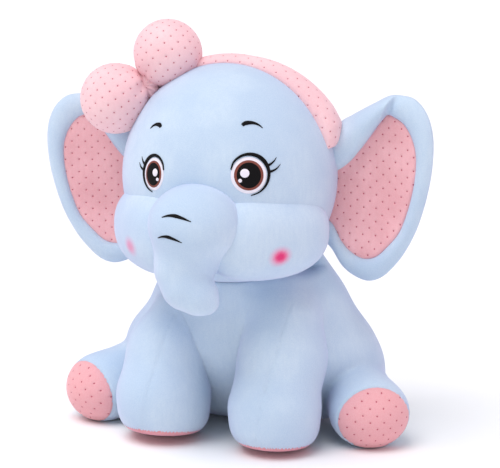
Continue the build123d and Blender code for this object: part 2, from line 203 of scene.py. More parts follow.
def polygonise(shape, low, high, cell, smooth_rounds=4):
    """Points and four-sided faces of a closed surface, one point for each cell it crosses."""
    axes = [np.arange(low[i] - 2 * cell, high[i] + 3 * cell, cell) for i in range(3)]
    grid = np.stack(np.meshgrid(*axes, indexing="ij"), -1)
    counts = grid.shape[:3]
    values = shape(grid.reshape(-1, 3)).reshape(counts)
    inner = [n - 1 for n in counts]

    def corner(array, offset):
        i, j, k = offset
        return array[i:i + inner[0], j:j + inner[1], k:k + inner[2]]

    filled = sum(corner(values < 0, c).astype(int) for c in CORNERS)
    mixed = (filled > 0) & (filled < 8)
    index = -np.ones(mixed.shape, int)
    index[mixed] = np.arange(mixed.sum())
    total = np.zeros((mixed.sum(), 3))
    number = np.zeros(mixed.sum())
    for a, b in CELL_EDGES:
        va = corner(values, a)[mixed]
        vb = corner(values, b)[mixed]
        crossed = (va < 0) != (vb < 0)
        share = np.where(crossed, va / np.where(crossed, va - vb, 1), 0)[:, None]
        pa = corner(grid, a)[mixed]
        pb = corner(grid, b)[mixed]
        total += np.where(crossed[:, None], pa + share * (pb - pa), 0)
        number += crossed
    points = total / number[:, None]
    quads = []
    for axis in range(3):
        u, v = (axis + 1) % 3, (axis + 2) % 3
        first = np.moveaxis(values < 0, axis, 0)[:-1]
        second = np.moveaxis(values < 0, axis, 0)[1:]
        first, second = np.moveaxis(first, 0, axis), np.moveaxis(second, 0, axis)
        spots = np.argwhere(first != second)
        spots = spots[(spots[:, u] > 0) & (spots[:, v] > 0)]
        spots = spots[(spots[:, u] < inner[u]) & (spots[:, v] < inner[v])]
        leaving = first[tuple(spots.T)]
        ring = []
        for du, dv in ((-1, -1), (0, -1), (0, 0), (-1, 0)):
            cell_at = spots.copy()
            cell_at[:, u] += du
            cell_at[:, v] += dv
            ring.append(index[tuple(cell_at.T)])
        ring = np.stack(ring, 1)
        ring[~leaving] = ring[~leaving][:, ::-1]
        quads.append(ring)
    quads = np.concatenate(quads)
    edges = edges_of(quads)
    degree = np.bincount(edges.ravel(), minlength=len(points))[:, None]
    points = settle(shape, points)
    for _ in range(smooth_rounds):
        mean = np.zeros_like(points)
        np.add.at(mean, edges[:, 0], points[edges[:, 1]])
        np.add.at(mean, edges[:, 1], points[edges[:, 0]])
        points = settle(shape, points + (mean / degree - points) * 0.6, 1)
    return settle(shape, points, 1), quads


def triangles_of(points, quads):
    """Each quad split along its shorter diagonal."""
    first = np.linalg.norm(points[quads[:, 0]] - points[quads[:, 2]], axis=1)
    second = np.linalg.norm(points[quads[:, 1]] - points[quads[:, 3]], axis=1)
    short = quads[first <= second]
    long = quads[first > second]
    halves = ((short, [0, 1, 2]), (short, [0, 2, 3]), (long, [0, 1, 3]), (long, [1, 2, 3]))
    return np.concatenate([some[:, corners] for some, corners in halves])


def vertex_normals(points, tris):
    a, b, c = (points[tris[:, i]] for i in range(3))
    face = np.cross(b - a, c - a)
    out = np.zeros_like(points)
    for i in range(3):
        np.add.at(out, tris[:, i], face)
    return unit(out)


# a vertex slides onto a seam line that crosses its edge within this share of the length
NEAR_ENOUGH = 0.35


class Skin:
    """A triangle mesh that seam lines can be drawn on, and that comes apart along them."""

    def __init__(self, points, tris):
        self.points = points
        self.tris = tris
        self.locked = np.zeros(len(points), bool)
        self.pressed = np.zeros(len(points))

    def draw(self, field, depth=0.0):
        """Puts mesh edges along field = 0, and presses that line in by depth."""
        values = field(self.points)
        edges = edges_of(self.tris)
        hit = edges[values[edges[:, 0]] * values[edges[:, 1]] < 0]
        va, vb = values[hit[:, 0]], values[hit[:, 1]]
        share = va / (va - vb)
        best = {}
        for (a, b), t in zip(hit, share):
            for v, w, s in ((a, b, t), (b, a, 1 - t)):
                if s < NEAR_ENOUGH and not self.locked[v] and s < best.get(v, (1, 0))[0]:
                    best[v] = (s, w)
        moved = {
            v: self.points[v] + s * (self.points[w] - self.points[v])
            for v, (s, w) in best.items()
        }
        for v, place in moved.items():
            self.points[v] = place
            values[v] = 0.0
        sign = np.sign(values)
        mixed = (sign[self.tris].min(1) < 0) & (sign[self.tris].max(1) > 0)
        keep = self.tris[~mixed].tolist()
        added = {}
        points = self.points.tolist()
        for tri in self.tris[mixed]:
            halves = {-1: [], 1: []}
            for i in range(3):
                a, b = int(tri[i]), int(tri[(i + 1) % 3])
                for s in (-1, 1):
                    if sign[a] in (s, 0):
                        halves[s].append(a)
                if sign[a] * sign[b] < 0:
                    key = (min(a, b), max(a, b))
                    if key not in added:
                        t = values[a] / (values[a] - values[b])
                        added[key] = len(points)
                        spot = self.points[a] + t * (self.points[b] - self.points[a])
                        points.append(spot.tolist())
                    halves[-1].append(added[key])
                    halves[1].append(added[key])
            for loop in halves.values():
                for i in range(1, len(loop) - 1):
                    keep.append([loop[0], loop[i], loop[i + 1]])
        fresh = len(points) - len(self.points)
        self.points = np.array(points)
        self.tris = np.array(keep)
        line = np.concatenate([values == 0, np.ones(fresh, bool)])
        self.locked = np.concatenate([self.locked, np.zeros(fresh, bool)]) | line
        self.pressed = np.concatenate([self.pressed, np.zeros(fresh)])
        if callable(depth):
            depth = depth(self.points)
        self.pressed = np.maximum(self.pressed, np.where(line, depth, 0))

    def finish(self):
        normals = vertex_normals(self.points, self.tris)
        self.points = self.points - normals * self.pressed[:, None]
        self.normals = vertex_normals(self.points, self.tris)

    def part(self, chosen):
        """The chosen triangles as a closed piece, with its openings filled in.

        Gives points, faces, normals, the edges of the openings and their loops of points.
        """
        tris = self.tris[chosen]
        used, packed = np.unique(tris, return_inverse=True)
        tris = packed.reshape(-1, 3)
        points = self.points[used]
        normals = self.normals[used]
        turns = ((a, b) for tri in tris.tolist() for a, b in zip(tri, tri[1:] + tri[:1]))
        directed = dict.fromkeys(turns)
        rim = {a: b for a, b in directed if (b, a) not in directed}
        extra, faces, loops, edges = [], tris.tolist(), [], list(rim.items())
        while rim:
            start, here = next(iter(rim.items()))
            loop = [start]
            del rim[start]
            while here != start and here in rim:
                loop.append(here)
                here = rim.pop(here)
            if len(loop) < 3:
                continue
            loops.append(points[loop])
            centre = points[loop].mean(0)
            ring1 = [len(points) + len(extra) + i for i in range(len(loop))]
            extra += [(points[v] * 0.5 + centre * 0.5).tolist() for v in loop]
            tip = len(points) + len(extra)
            extra.append(centre.tolist())
            for i in range(len(loop)):
                j = (i + 1) % len(loop)
                faces.append([loop[j], loop[i], ring1[i]])
                faces.append([loop[j], ring1[i], ring1[j]])
                faces.append([ring1[j], ring1[i], tip])
        if extra:
            points = np.concatenate([points, np.array(extra)])
            normals = np.concatenate([normals, np.zeros((len(extra), 3))])
        return points, faces, normals, edges, loops


# ------ lofts
def loft(rings, start_tip=None, end_tip=None):
    """A closed skin through rings of equal count, with a point at each end."""
    rings = [np.asarray(r) for r in rings]
    count = len(rings[0])
    points = list(np.concatenate(rings))
    faces = []
    for r in range(len(rings) - 1):
        for i in range(count):
            j = (i + 1) % count
            a, b = r * count, (r + 1) * count
            faces.append([a + i, a + j, b + j, b + i])
    for ring, tip, flip in ((0, start_tip, True), (len(rings) - 1, end_tip, False)):
        centre = rings[ring].mean(0) if tip is None else np.asarray(tip)
        points.append(centre)
        top = len(points) - 1
        for i in range(count):
            a, b = ring * count + i, ring * count + (i + 1) % count
            faces.append([b, a, top] if flip else [a, b, top])
    return np.array(points), faces


def outward(points, faces):
    """The faces turned so that the closed skin looks outward."""
    volume = 0.0
    for face in faces:
        a = points[face[0]]
        for i in range(1, len(face) - 1):
            volume += a @ np.cross(points[face[i]], points[face[i + 1]])
    return faces if volume > 0 else [list(reversed(f)) for f in faces]


def round_curve(table, count):
    """Points of a closed smooth curve through a table, and their place in it."""
    table = np.array(table, float)
    size = len(table)
    where = np.arange(count) * size / count
    i = where.astype(int)
    t = (where - i)[:, None]
    p0, p1, p2, p3 = (table[(i + k) % size] for k in (-1, 0, 1, 2))
    m1, m2 = (p2 - p0) / 2, (p3 - p1) / 2
    curve = (2 * t ** 3 - 3 * t ** 2 + 1) * p1 + (t ** 3 - 2 * t ** 2 + t) * m1
    curve += (3 * t ** 2 - 2 * t ** 3) * p2 + (t ** 3 - t ** 2) * m2
    return curve, where


def open_curve(table, count):
    """Points of a smooth open curve through a table, evenly spread."""
    table = np.array(table, float)
    steps = np.concatenate([[0], np.cumsum(np.linalg.norm(np.diff(table, axis=0), axis=1))])
    x = np.linspace(0, steps[-1], count)
    return np.stack([smooth_curve(x, steps, table[:, c]) for c in range(table.shape[1])], 1)


# ------ materials
def colour(red, green, blue):
    """A display colour, 0 to 255, as the linear value that shaders take."""
    out = []
    for value in (red, green, blue):
        v = value / 255
        out.append(v / 12.92 if v <= 0.04045 else ((v + 0.055) / 1.055) ** 2.4)
    return (*out, 1.0)


class Nodes:
    """Short ways to add nodes to the tree of a material or of the world."""

    def __init__(self, owner, shader="Principled BSDF"):
        owner.use_nodes = True
        self.owner = owner
        self.tree = owner.node_tree
        self.shader = self.tree.nodes[shader]
        self.places = self.add("ShaderNodeTexCoord").outputs
        self.object = self.places["Object"]

    def feed(self, socket, value):
        if isinstance(value, bpy.types.NodeSocket):
            self.tree.links.new(value, socket)
        else:
            socket.default_value = value

    def add(self, kind, inputs=None, **settings):
        made = self.tree.nodes.new(kind)
        for key, value in settings.items():
            setattr(made, key, value)
        for key, value in (inputs or {}).items():
            self.feed(made.inputs[key], value)
        return made

    def maths(self, operation, a, b=0.0):
        return self.add("ShaderNodeMath", {0: a, 1: b}, operation=operation).outputs[0]

    def vectors(self, operation, a, b):
        """For SCALE, b is a number; it is the fourth input of that node."""
        inputs = {0: a, 3 if operation == "SCALE" else 1: b}
        return self.add("ShaderNodeVectorMath", inputs, operation=operation).outputs[0]

    def noise(self, scale, detail=2.0, rough=0.5, vector=None, output="Fac"):
        inputs = {"Scale": scale, "Detail": detail, "Roughness": rough}
        inputs["Vector"] = vector or self.object
        return self.add("ShaderNodeTexNoise", inputs).outputs[output]

    def stretched(self, scales, turn=(0.0, 0.0, 0.0), vector=None):
        inputs = {"Vector": vector or self.object, "Scale": scales, "Rotation": turn}
        return self.add("ShaderNodeMapping", inputs).outputs["Vector"]

    def spread(self, value, low, high, to_low=0.0, to_high=1.0, way="SMOOTHSTEP"):
        names = ("Value", "From Min", "From Max", "To Min", "To Max")
        inputs = dict(zip(names, (value, low, high, to_low, to_high)))
        return self.add("ShaderNodeMapRange", inputs, interpolation_type=way).outputs["Result"]

    def mix(self, share, a, b):
        return self.add("ShaderNodeMix", {0: share, 6: a, 7: b}, data_type="RGBA").outputs[2]

    def bump(self, height, distance, strength=1.0, normal=None):
        inputs = {"Height": height, "Distance": distance, "Strength": strength}
        if normal is not None:
            inputs["Normal"] = normal
        return self.add("ShaderNodeBump", inputs).outputs["Normal"]

    def wire(self, **sockets):
        for key, value in sockets.items():
            self.feed(self.shader.inputs[key.replace("_", " ")], value)
        return self.owner


def pile(n, base, shade, height):
    """Short brushed pile: slow patches of shade, soft streaks and a fine nap."""
    patches = n.spread(n.noise(16.0, 3.0), 0.36, 0.64)
    streaks = n.noise(260.0, 3.0, 0.55, n.stretched((1.0, 1.0, 0.22), (0.1, 0.15, 0.0)))
    nap = n.noise(1150.0, 3.0, 0.6)
    tone = n.mix(patches, base, shade)
    tone = n.mix(n.spread(streaks, 0.35, 0.65, 0.0, 0.35), tone, shade)
    tone = n.mix(n.spread(nap, 0.3, 0.7, 0.0, 0.14), tone, (1, 1, 1, 1))
    fuzz = n.maths("ADD", n.maths("MULTIPLY", nap, 0.6), n.maths("MULTIPLY", streaks, 0.5))
    fuzz = n.maths("ADD", fuzz, n.maths("MULTIPLY", patches, 0.3))
    rough = n.spread(nap, 0.25, 0.75, 0.74, 0.9)
    return tone, rough, n.bump(fuzz, height, 0.55)


BLUE = colour(195, 213, 231)
BLUE_SHADE = colour(182, 203, 226)
LAVENDER = (0.80, 0.70, 1.0, 1.0)      # sheen of the blue pile
ROSE = (1.0, 0.82, 0.88, 1.0)          # sheen of the pink cloth
PINK = colour(250, 208, 212)
PINK_SHADE = colour(244, 193, 199)
EAR_PINK = colour(246, 182, 187)
EAR_PINK_SHADE = colour(233, 163, 169)
PAD_PINK = colour(234, 162, 167)
DOT_RED = colour(176, 62, 84)
BLUSH_PINK = colour(244, 110, 160)
BLUSH_RED = colour(228, 40, 112)


def plush(name, base, shade, blush=None, glow=1.0):
    """Short brushed pile, with an airbrushed blush round a point if one is given."""
    n = Nodes(bpy.data.materials.new(name))
    tone, rough, normal = pile(n, base, shade, 0.6 * MM)
    if blush is not None:
        place = n.vectors("SUBTRACT", n.object, tuple(blush))
        place = n.vectors("MULTIPLY", place, (0.95, 0.95, 1.12))
        away = n.add("ShaderNodeVectorMath", {0: place}, operation="LENGTH").outputs["Value"]
        away = n.maths("ADD", away, n.maths("MULTIPLY", n.noise(500.0, 2.0), 1.6 * MM))
        halo = n.spread(away, 15.0 * MM, 4.0 * MM, 0.0, 0.8 * glow)
        core = n.spread(away, 9.8 * MM, 2.5 * MM, 0.0, 0.9 * glow * glow)
        tone = n.mix(halo, tone, BLUSH_PINK)
        tone = n.mix(core, tone, BLUSH_RED)
    n.wire(Base_Color=tone, Roughness=rough, Normal=normal, Sheen_Weight=0.42, Sheen_Roughness=0.42)
    return n.wire(Sheen_Tint=LAVENDER, Specular_IOR_Level=0.18)


def dotted(name, base, shade, turned, pitch=9.6 * MM, dot=0.72 * MM):
    """Short pile with a lattice of pin dots, each in a small dimple that is darkened with painted
    shade.
    """
    n = Nodes(bpy.data.materials.new(name))
    tone, rough, normal = pile(n, base, shade, 0.5 * MM)
    flat = n.add("ShaderNodeUVMap", uv_map="cloth").outputs["UV"]
    # the printed rows wander a little
    wobble = n.noise(45.0, 1.0, output="Color")
    wobble = n.vectors("SCALE", n.vectors("SUBTRACT", wobble, (0.5, 0.5, 0.5)), 1.6 * MM)
    flat = n.vectors("ADD", flat, wobble)
    lattice = n.stretched((1 / pitch, 1 / pitch, 1), (0, 0, turned), flat)
    axes = n.add("ShaderNodeSeparateXYZ", {0: lattice})
    across = n.maths("SUBTRACT", n.maths("FRACT", axes.outputs[0]), 0.5)
    up = n.maths("SUBTRACT", n.maths("FRACT", axes.outputs[1]), 0.5)
    square = n.maths("ADD", n.maths("MULTIPLY", across, across), n.maths("MULTIPLY", up, up))
    away = n.maths("MULTIPLY", n.maths("SQRT", square), pitch)
    mark = n.spread(away, dot * 1.3, dot * 0.7)
    dimple = n.spread(away, dot * 3.2, dot * 0.4)
    # painted shade: the colour is darkened toward the shade tone inside each dot's dimple
    tone = n.mix(n.maths("MULTIPLY", dimple, 0.22), tone, shade)
    tone = n.mix(n.maths("MULTIPLY", mark, 0.92), tone, DOT_RED)
    normal = n.bump(n.maths("SUBTRACT", 1.0, dimple), 0.6 * MM, 0.8, normal)
    n.wire(Base_Color=tone, Roughness=rough, Normal=normal, Sheen_Weight=0.4, Sheen_Roughness=0.4)
    return n.wire(Sheen_Tint=ROSE, Specular_IOR_Level=0.18)


def satin(name, base, gloss, turn, gloss_level=0.35):
    """Satin-stitch embroidery: fine parallel threads with a soft gloss, and a painted highlight on
    their raised bands.
    """
    n = Nodes(bpy.data.materials.new(name))
    lie = n.stretched((1.0, 1.0, 1.0), (0.0, radians(turn), 0.0))
    inputs = {"Vector": lie, "Scale": 420.0, "Distortion": 1.2, "Detail": 1.0}
    bands = {"wave_type": "BANDS", "bands_direction": "X"}
    threads = n.add("ShaderNodeTexWave", inputs, **bands).outputs["Fac"]
    # painted highlight: the raised thread bands are mixed toward a lighter colour
    ridge_highlight = tuple(min(1.0, c * 1.25 + 0.004) for c in base[:3]) + (1.0,)
    tone = n.mix(n.maths("MULTIPLY", threads, 0.45), base, ridge_highlight)
    rough = n.spread(n.noise(700.0, 2.0), 0.3, 0.7, gloss, gloss + 0.15)
    normal = n.bump(threads, 0.18 * MM, 0.7)
    return n.wire(Base_Color=tone, Roughness=rough, Normal=normal, Sheen_Weight=0.02,
                  Specular_IOR_Level=gloss_level)


PLUSH = plush("blue_short_plush", BLUE, BLUE_SHADE)
EAR_DOTS = dotted("ear_lining_dots", EAR_PINK, EAR_PINK_SHADE, radians(45))
PAD_DOTS = dotted("hind_pad_dots", PAD_PINK, EAR_PINK_SHADE, radians(45))
BOW_DOTS = dotted("bow_dots", PINK, PINK_SHADE, radians(4))
BAND_DOTS = dotted("band_dots", PINK, PINK_SHADE, radians(45), dot=0.6 * MM)
SOLE = plush("sole_pink", colour(232, 150, 156), colour(222, 138, 146))
KNOT = plush("bow_knot_pink", PINK, PINK_SHADE)
THREADS = {
    "white": satin("white_satin_stitch", colour(240, 232, 245), 0.42, 20),
    "brown": satin("brown_satin_stitch", colour(126, 62, 50), 0.36, -25),
    "black": satin("black_satin_stitch", colour(8, 6, 8), 0.5, 70, 0.12),
}


# ------ making pieces
def new_object(name, data):
    made = bpy.data.objects.new(name, data)
    bpy.context.scene.collection.objects.link(made)
    return made


def piece(name, points, faces, material, cad, body=None, normals=None,
          cloth=None, rim=()):
    """A mesh object with its material, its body and the CAD nodes it stands for.

    cloth gives each vertex its place on the flat printed cloth; rim edges are kept sharp.
    """
    mesh = bpy.data.meshes.new(name)
    mesh.from_pydata(np.asarray(points).tolist(), [], [list(map(int, f)) for f in faces])
    mesh.update()
    mesh.shade_smooth()
    if cloth is not None:
        layer = mesh.uv_layers.new(name="cloth")
        vertex = np.zeros(len(mesh.loops), int)
        mesh.loops.foreach_get("vertex_index", vertex)
        layer.data.foreach_set("uv", cloth[vertex].astype(np.float32).ravel())
    pairs = {(min(a, b), max(a, b)) for a, b in rim}
    for edge in mesh.edges if pairs else ():
        if tuple(sorted(edge.vertices)) in pairs:
            edge.use_edge_sharp = True
    if normals is not None:
        plain = np.zeros(len(mesh.vertices) * 3, np.float32)
        mesh.vertices.foreach_get("normal", plain)
        empty = np.linalg.norm(normals, axis=1) < 0.5
        normals = np.where(empty[:, None], plain.reshape(-1, 3), normals)
        mesh.normals_split_custom_set_from_vertices([tuple(v) for v in normals])
    made = new_object(name, mesh)
    made.data.materials.append(material)
    if body:
        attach(made, body)
    if cad:
        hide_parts(*cad)
    return made


def stuffed(name):
    return (name + "_skin", name + "_filling")


# ------ torso and legs
# height, half width, half depth, distance of the middle behind the head's axis, and how far the
# chest leans to the toy's left
TORSO_RINGS = np.array([
    (0, 80, 44, 96, 0), (10, 108, 62, 90, 0), (35, 134, 82, 83, 0), (65, 140, 94, 73, 0),
    (95, 130, 96, 62, 1.5), (125, 109, 86, 52, 5), (150, 97, 76, 44, 6.5), (175, 83, 63, 36, 6.5),
    (195, 73, 56, 28, 6.5), (225, 66, 50, 24, 6),
], float) * MM
FRONT_FOOT = {s: middle("front_sole_" + n) for s, n in SIDES}
# for each side: the foot's radius, how far it stands back and how far its sole tips up at the
# toes, then the knee and the top of the leg with their radii
FRONT_LEG = {
    1: (44.5 * MM, 0.0, radians(6), at(62, -19, 90), 42.5 * MM, at(60, -10, 124), 38 * MM),
    -1: (46.0 * MM, 5 * MM, radians(10), at(-61, -17, 86), 39 * MM, at(-58, -6, 114), 28 * MM),
}
SHOULDER = {s: JOINT_AT[f"front_leg_{n}_swing"] for s, n in SIDES}
HIP = {s: JOINT_AT[f"hind_leg_{n}_spread"] for s, n in SIDES}
HIND_FOOT = at(145, 9, 35)
HIND_TOE_HALF = np.array([39.0, 35, 32.0]) * MM
PAD_YAW = radians(30)            # the pads look outward
PAD_TILT = radians(7)            # and a little down
PAD_DEPTH = 15 * MM              # from the middle of the foot
SOLE_THICK = 7 * MM
# room that the cheeks take out of the chest: a ring round the head's axis with this radius to
# its middle, height, half width and half height
CHEEK_RING = (73 * MM, 218 * MM, 41 * MM, 49 * MM)


def torso_shape(p):
    x, y, z = (p - HEAD * FLAT).T
    heights, *rings = TORSO_RINGS.T
    level = np.clip(z, 0.0, heights[-1])
    wide, deep, back, lean = (smooth_curve(level, heights, ring) for ring in rings)
    k0 = np.hypot((x - lean) / wide, (y - back) / deep) + 1e-6
    k1 = np.hypot((x - lean) / wide ** 2, (y - back) / deep ** 2) + 1e-6
    side = k0 * (k0 - 1) / k1 * 0.9
    ring_reach, ring_level, ring_wide, ring_tall = CHEEK_RING
    a = np.maximum(np.hypot(x, y) - ring_reach, 0) / ring_wide
    b = (z - ring_level) / ring_tall
    k = np.hypot(a, b) + 1e-6
    cheeks = k * (k - 1) / (np.hypot(a / ring_wide, b / ring_tall) + 1e-6)
    side = trim(side, -np.maximum(cheeks, y - 34 * MM), 9 * MM)
    return trim(side, -egg(p, HEAD, HEAD_HALF - 4 * MM), 2 * MM)


def rounded_column(p, foot, radius, top, bend):
    """An upright column from the floor, with both its rims rounded."""
    out = np.hypot(p[:, 0] - foot[0], p[:, 1] - foot[1]) - (radius - bend)
    up = np.abs(p[:, 2] - top / 2) - (top / 2 - bend)
    inside = np.minimum(np.maximum(out, up), 0)
    return np.hypot(np.maximum(out, 0), np.maximum(up, 0)) + inside - bend


def sole_frame(p, side):
    """Points with the floor turned to lie along the front sole, which tips up at the toes."""
    radius, back, tip, *_ = FRONT_LEG[side]
    heel = FRONT_FOOT[side] * FLAT + np.array([0, back + 0.45 * radius, 0])
    q = p - heel
    y = q[:, 1] * cos(tip) - q[:, 2] * sin(tip)
    z = q[:, 1] * sin(tip) + q[:, 2] * cos(tip)
    return heel + np.stack([q[:, 0], y, z], 1)


def front_leg(p, side):
    radius, back, tip, knee, knee_r, top, top_r = FRONT_LEG[side]
    foot = FRONT_FOOT[side] * FLAT + np.array([0, back, radius])
    lower = limb(p, foot, knee, radius, knee_r)
    leg = join(lower, limb(p, knee, top, knee_r, top_r), 10 * MM)
    q = sole_frame(p, side)
    leg = join(leg, rounded_column(q, foot, radius, 64 * MM, 24 * MM), 8 * MM)
    return trim(leg, -q[:, 2], 8 * MM)


def hind_leg(p, side):
    foot = sided(HIND_FOOT, side)
    leg = limb(p, HIP[side], foot, 38 * MM, 33 * MM)
    toe = foot - np.array([side * 1 * MM, 0, 2.5 * MM])
    return join(leg, egg(p, toe, HIND_TOE_HALF, PAD_YAW * side), 14 * MM)


def body_shape(p):
    """Torso and legs; the front legs melt into the chest higher up."""
    torso = torso_shape(p)
    front = np.minimum(front_leg(p, 1), front_leg(p, -1))
    hind = np.minimum(hind_leg(p, 1), hind_leg(p, -1))
    crease = np.interp(p[:, 2], [0.1, 0.15], [2 * MM, 16 * MM])
    whole = np.minimum(join(torso, front, crease), join(torso, hind, 5 * MM))
    return trim(whole, -p[:, 2], 3 * MM)


# Seam fields: each is zero along its seam and positive on the smaller piece.
def pad_field(side):
    across_out, down = cos(PAD_TILT), -sin(PAD_TILT)
    out = np.array([side * sin(PAD_YAW) * across_out, -cos(PAD_YAW) * across_out, down])
    foot = sided(HIND_FOOT, side)

    def field(p):
        plane = (p - foot) @ out - PAD_DEPTH
        near = 46 * MM - np.linalg.norm(p - foot, axis=1)
        return np.where(p[:, 0] * side > 0, np.minimum(plane, near), -0.1)
    return field


def leg_field(leg, side):
    def field(p):
        value = torso_shape(p) - leg(p, side)
        return np.where(p[:, 0] * side > 0, value, -0.1)
    return field


def sole_field(p):
    forward = HEAD[1] + 6 * MM - p[:, 1]
    level = np.where(p[:, 0] > HEAD[0], sole_frame(p, 1)[:, 2], sole_frame(p, -1)[:, 2])
    return np.minimum(SOLE_THICK - level, forward)


def centre_field(p):
    return p[:, 0] - HEAD[0]


def leg_seam_field(side):
    """The seam down the front of a front leg."""
    def field(p):
        return p[:, 0] - FRONT_FOOT[side][0] - 0.16 * (p[:, 2] - 0.05)
    return field


# How deep each seam is pressed, by place.
def leg_crease(side):
    def depth(p):
        fades = np.interp(p[:, 2], [0.10, 0.15], [1.5 * MM, 0.0])
        return np.where(front_leg(p, side) < 4 * MM, fades, 0.0)
    return depth


def pad_crease(side):
    foot = sided(HIND_FOOT, side)
    return lambda p: np.where(np.linalg.norm(p - foot, axis=1) < 43 * MM, 1.3 * MM, 0.0)


def leg_seam_depth(p):
    return np.where((p[:, 1] < HEAD[1] - 30 * MM) & (p[:, 2] < 0.15), 0.7 * MM, 0.0)


def behind(start, depth):
    """This deep, but only this far behind the head's axis."""
    return lambda p: np.where(p[:, 1] > HEAD[1] + start, depth, 0.0)


def make_body():
    """One skin for torso and legs, cut along its seams into pieces."""
    right = ("torso_skin", "hind_leg_right_skin", "front_leg_right_skin")
    low = np.min([box(node)[0] for node in right], axis=0) - 6 * MM
    high = np.max([box(node)[1] for node in ("torso_skin", "hind_leg_left_skin")], axis=0) + 6 * MM
    points, quads = polygonise(body_shape, low, high, 2.6 * MM)
    skin = Skin(points, triangles_of(points, quads))
    fields = {}
    for side, word in SIDES:
        front, hind, pad = leg_field(front_leg, side), leg_field(hind_leg, side), pad_field(side)
        fields[word] = front, hind, pad
        skin.draw(front, leg_crease(side))
        skin.draw(hind)
        skin.draw(pad, pad_crease(side))
        skin.draw(leg_seam_field(side), leg_seam_depth)
    skin.draw(centre_field, behind(60 * MM, 0.7 * MM))
    skin.draw(sole_field, 1.0 * MM)
    skin.finish()
    spots = skin.points[skin.tris].mean(1)
    label = np.full(len(spots), "torso", dtype=object)
    sole = (sole_field(spots) > 0) & (np.abs(spots[:, 0]) < 0.115)
    for side, word in SIDES:
        front, hind, pad = (field(spots) for field in fields[word])
        label[(front > 0) & (front >= hind)] = "front_leg_" + word
        label[(hind > 0) & (hind > front)] = "hind_leg_" + word
        label[(pad > 0) & (label == "hind_leg_" + word)] = "hind_pad_" + word
        label[sole & (label == "front_leg_" + word)] = "front_sole_" + word
    label = tidy_labels(skin.tris, label)
    points, faces, normals, rim, _ = skin.part(label == "torso")
    piece("torso_plush", points, faces, PLUSH, stuffed("torso"), "torso_body",
          normals, rim=rim)
    for side, word in SIDES:
        limb_piece(skin, label, "front_leg_" + word, SHOULDER[side], FRONT_FOOT[side])
        limb_piece(skin, label, "hind_leg_" + word, HIP[side], sided(HIND_FOOT, side))
        points, faces, normals, rim, _ = skin.part(label == "front_sole_" + word)
        piece(f"front_sole_{word}_cloth", points, faces, SOLE,
              ("front_sole_" + word,), f"front_leg_{word}_body", normals, rim=rim)
        points, faces, normals, rim, _ = skin.part(label == "hind_pad_" + word)
        across = np.array([cos(PAD_YAW), side * sin(PAD_YAW), 0.0])
        flat = np.stack([points @ across, points[:, 2] * 1.02], 1)
        piece(f"hind_pad_{word}_cloth", points, faces, PAD_DOTS,
              ("hind_pad_" + word,), f"hind_leg_{word}_body", normals, cloth=flat, rim=rim)


def tidy_labels(tris, label):
    """Each part keeps only its largest patch; stray patches go to their neighbour."""
    label = label.copy()
    edge_of = {}
    for number, tri in enumerate(tris):
        for i in range(3):
            a, b = int(tri[i]), int(tri[(i + 1) % 3])
            edge_of.setdefault((min(a, b), max(a, b)), []).append(number)
    near = [[] for _ in tris]
    for pair in edge_of.values():
        if len(pair) == 2:
            near[pair[0]].append(pair[1])
            near[pair[1]].append(pair[0])
    seen = np.zeros(len(tris), bool)
    groups = {}
    for first in range(len(tris)):
        if seen[first]:
            continue
        seen[first] = True
        group, queue = [], [first]
        while queue:
            here = queue.pop()
            group.append(here)
            for other in near[here]:
                if not seen[other] and label[other] == label[here]:
                    seen[other] = True
                    queue.append(other)
        groups.setdefault(label[first], []).append(group)
    for name, found in groups.items():
        found.sort(key=len)
        for group in found[:-1]:
            around = {}
            for here in group:
                for other in near[here]:
                    if label[other] != name:
                        around[label[other]] = around.get(label[other], 0) + 1
            if around:
                label[group] = max(around, key=around.get)
    return label


def limb_piece(skin, label, name, joint, foot):
    """A leg cut from the body's skin as a piece of its own, with its transform baked in."""
    points, faces, normals, rim, loops = skin.part(label == name)
    axis = unit(foot - joint)
    along = [(loop - joint) @ axis for loop in loops if len(loop) > 60]
    made = piece(name + "_plush", points, faces, PLUSH, stuffed(name), None,
                 normals, rim=rim)
    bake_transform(made)


make_body()


# ------ head, cheeks, trunk, tail
CHEEK = at(54, -53, 219.5)
CHEEK_HALF = np.array([69, 40, 44]) * MM
CHEEK_YAW = radians(49)
TRUNK_TOP = at(0.5, -99, 234)
TRUNK_TOP_HALF = np.array([45.5, 44, 39.5]) * MM
TRUNK_LINE = [
    (at(-3, -100, 218), 37.0), (at(-9, -107, 193), 27.0), (at(-4, -110, 178), 24.5),
    (at(8, -113, 169), 18.5), (at(16.5, -114, 163.5), 12.5),
]
# middle of the blush on each cheek, and how strong it is
BLUSH = {1: (at(80, -81.4, 204.8), 1.0), -1: (at(-69, -92.9, 207.6), 0.55)}


def head_shape(p):
    """An egg, a little flat where it rests on the neck."""
    neck = HEAD[2] - HEAD_HALF[2] + 7 * MM
    return trim(egg(p, HEAD, HEAD_HALF), neck - p[:, 2], 12 * MM)


def cheek_shape(side):
    def shape(p):
        return egg(p, sided(CHEEK, side), CHEEK_HALF, CHEEK_YAW * side, (2.4, 2.0, 2.3))
    return shape


def trunk_shape(p):
    out = egg(p, TRUNK_TOP, TRUNK_TOP_HALF)
    for (a, ra), (b, rb) in zip(TRUNK_LINE[:-1], TRUNK_LINE[1:]):
        out = join(out, limb(p, a, b, ra * MM, rb * MM), 4 * MM)
    return out


def tail_shape(p):
    low, high = box("tail_skin")
    root = np.array([0.0, high[1] - 17 * MM, high[2] - 10 * MM])
    tip = np.array([0.0, high[1] - 8.5 * MM, low[2] + 8.5 * MM])
    stem = limb(p, root, tip, 10 * MM, 7.5 * MM)
    # the root reaches into the seam on the back
    stem = join(stem, limb(p, root - np.array([0, 15 * MM, 0]), root, 9 * MM, 9.9 * MM), 4 * MM)
    return join(stem, egg(p, tip, np.array([8.6, 8.4, 10.5]) * MM), 6 * MM)


